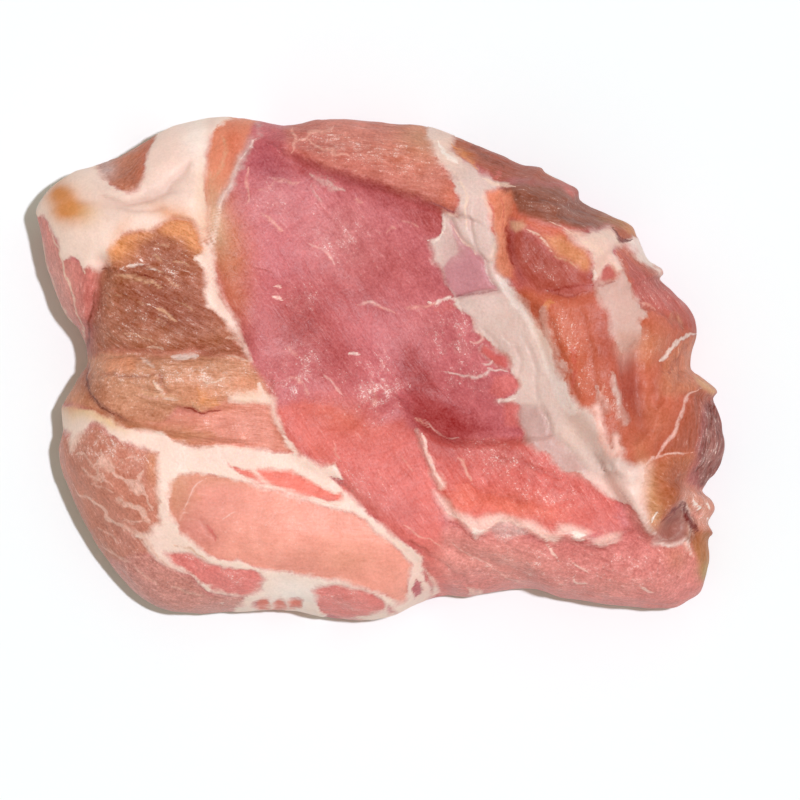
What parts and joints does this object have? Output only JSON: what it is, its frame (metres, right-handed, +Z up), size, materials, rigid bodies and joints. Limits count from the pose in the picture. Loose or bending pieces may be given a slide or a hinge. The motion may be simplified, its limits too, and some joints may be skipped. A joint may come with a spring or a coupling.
{
  "type": "raw pork collar",
  "caption": "Raw boneless pork collar in one irregular slab, with pale fat seams, folded muscles and a flat underside that it rests on.",
  "frame": {"origin": "on the table, under the middle of the collar's box", "axes": "+Z up, +X along the collar's length, +Y across it, away from the sliced end at the front"},
  "size_m": [0.2392, 0.177, 0.0606],
  "materials": {
    "raw_pork": "moist pink and brown-red lean with cream fat seams and grey-white silverskin, satin gloss"
  },
  "bodies": {
    "root": {"collar": "raw_pork"}
  },
  "joints": []
}
